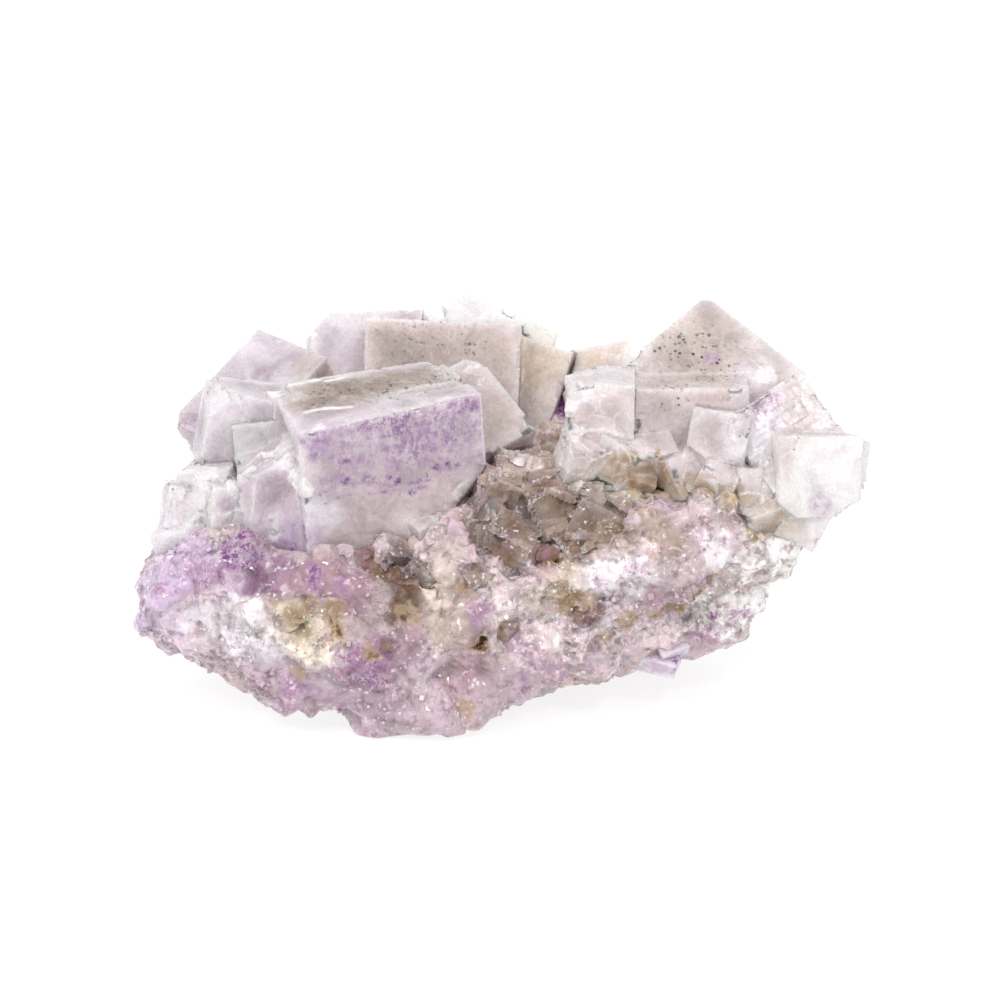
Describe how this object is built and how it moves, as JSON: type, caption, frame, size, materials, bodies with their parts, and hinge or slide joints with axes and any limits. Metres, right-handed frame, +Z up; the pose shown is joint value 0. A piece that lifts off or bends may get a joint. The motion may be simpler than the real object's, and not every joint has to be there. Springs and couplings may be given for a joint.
{
  "type": "fluorite crystal cluster",
  "caption": "Mineral specimen: pale violet cube-shaped fluorite crystals grown together on a lump of sugary, iron-stained matrix, with a flat sawn rest underneath.",
  "frame": {"origin": "middle of the footprint of the whole specimen, on the plane of the sawn resting patch", "axes": "+X to the viewer's right along the widest extent, +Y away from the show side towards the rear crystals, +Z up"},
  "size_m": [0.0714, 0.0464, 0.0384],
  "materials": {
    "violet_fluorite": "clear to milky violet crystal with satin growth faces",
    "pale_fluorite": "near-colourless milky crystal with dark specks",
    "smoky_fluorite": "smoky brown crystal",
    "matrix": "sugary, glittering, stained brown in the hollows"
  },
  "bodies": {
    "root": {"front_purple_cubes": "violet_fluorite", "right_pale_cubes": "pale_fluorite", "rear_cubes": "pale_fluorite", "left_rear_cube": "violet_fluorite", "rear_crest": "pale_fluorite", "rear_right_crystals": "pale_fluorite", "back_crystals": "violet_fluorite", "left_edge_crystals": "pale_fluorite", "smoky_crystals": "smoky_fluorite", "foot_crystals": "violet_fluorite", "matrix": "matrix"}
  },
  "joints": []
}
